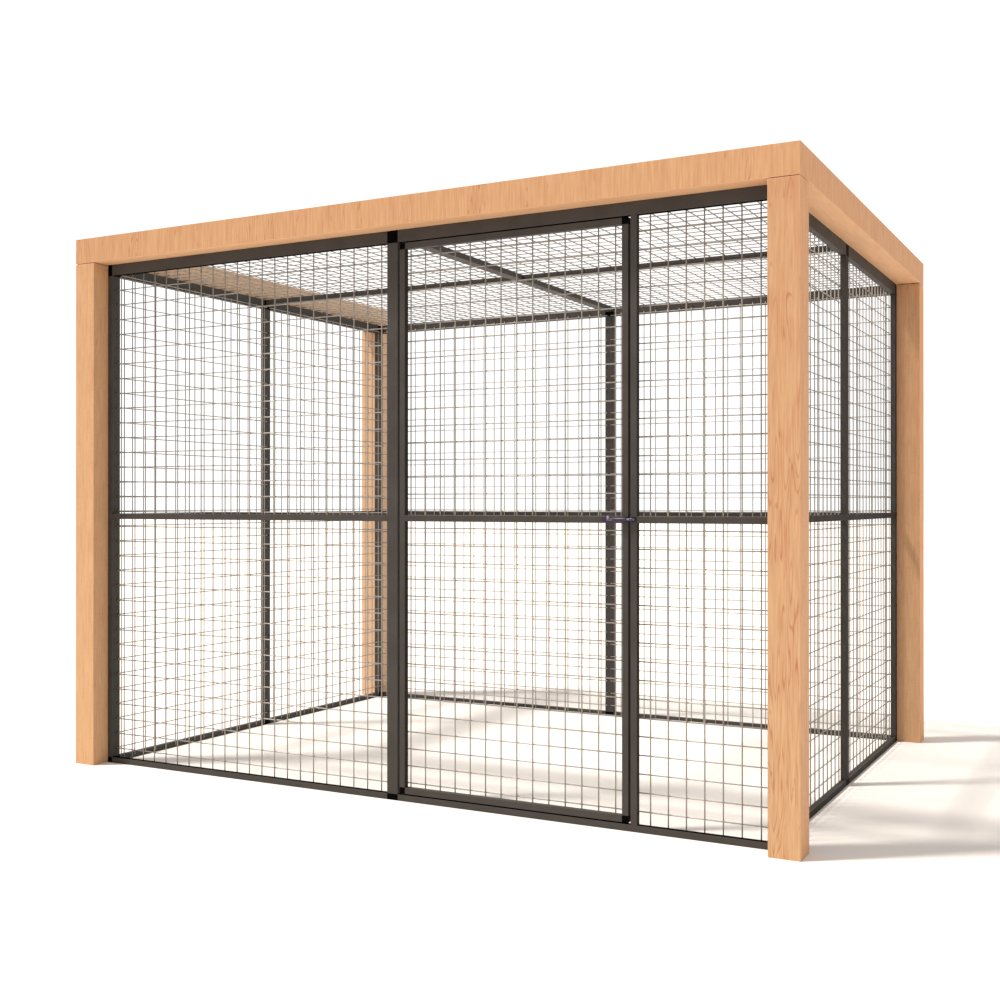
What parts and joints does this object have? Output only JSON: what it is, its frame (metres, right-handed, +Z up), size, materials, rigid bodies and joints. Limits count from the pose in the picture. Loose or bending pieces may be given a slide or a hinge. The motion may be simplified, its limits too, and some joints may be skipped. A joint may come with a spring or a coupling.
{
  "type": "cat enclosure",
  "caption": "Walk-in outdoor cat run: timber posts and beams round a black steel tube frame with welded wire mesh walls and roof and a bolted hinged door.",
  "frame": {"origin": "on the ground at the middle of the enclosure's outline", "axes": "+X along the front towards the door's lock side, +Y from the front to the back, +Z up"},
  "size_m": [2.67, 1.938, 1.92],
  "materials": {
    "timber": "planed softwood with a warm stain",
    "frame_tube": "matt black powder coat",
    "connector": "black moulded connector",
    "wire": "galvanised welded wire",
    "bolt_body": "dark plated steel",
    "bolt_rod": "bright plated steel",
    "plated_steel": "zinc plated"
  },
  "bodies": {
    "frame": {"post_front_left": "timber", "post_front_right": "timber", "post_back_left": "timber", "post_back_right": "timber", "beam_front": "timber", "beam_left": "timber", "beam_right": "timber", "front_stiles": "frame_tube", "front_middle_post": "frame_tube", "lock_post": "frame_tube", "front_top_rails": "frame_tube", "front_bottom_rails": "frame_tube", "front_mid_rails": "frame_tube", "front_connectors": "connector", "back_stiles": "frame_tube", "back_middle_post": "frame_tube", "back_top_rails": "frame_tube", "back_bottom_rails": "frame_tube", "back_mid_rails": "frame_tube", "back_connectors": "connector", "left_stiles": "frame_tube", "left_middle_post": "frame_tube", "left_top_rails": "frame_tube", "left_bottom_rails": "frame_tube", "left_mid_rails": "frame_tube", "left_connectors": "connector", "right_stiles": "frame_tube", "right_middle_post": "frame_tube", "right_top_rails": "frame_tube", "right_bottom_rails": "frame_tube", "right_mid_rails": "frame_tube", "right_connectors": "connector", "roof_long_tube": "frame_tube", "roof_cross_tubes": "frame_tube", "mesh_front_left": "wire", "mesh_front_right": "wire", "mesh_back": "wire", "mesh_left": "wire", "mesh_right": "wire", "mesh_roof": "wire", "pivot_pins": "plated_steel", "keeper": "bolt_body", "keeper_screws": "plated_steel"},
    "door": {"door_stiles": "frame_tube", "door_rails": "frame_tube", "door_mid_rail": "frame_tube", "door_corners": "connector", "door_mesh": "wire", "bolt_plate": "bolt_body", "bolt_screws": "plated_steel"},
    "bolt": {"bolt_rod": "bolt_rod", "bolt_knob": "bolt_rod"}
  },
  "joints": [
    {"name": "door_hinge", "type": "hinge", "parent": "frame", "child": "door", "pos_m": [0.0375, -0.889, 0.9], "axis": [0, 0, -1], "range_deg": [0, 105]},
    {"name": "bolt_slide", "type": "slide", "parent": "door", "child": "bolt", "axis": [-1, 0, 0], "range_m": [0, 0.026]}
  ]
}
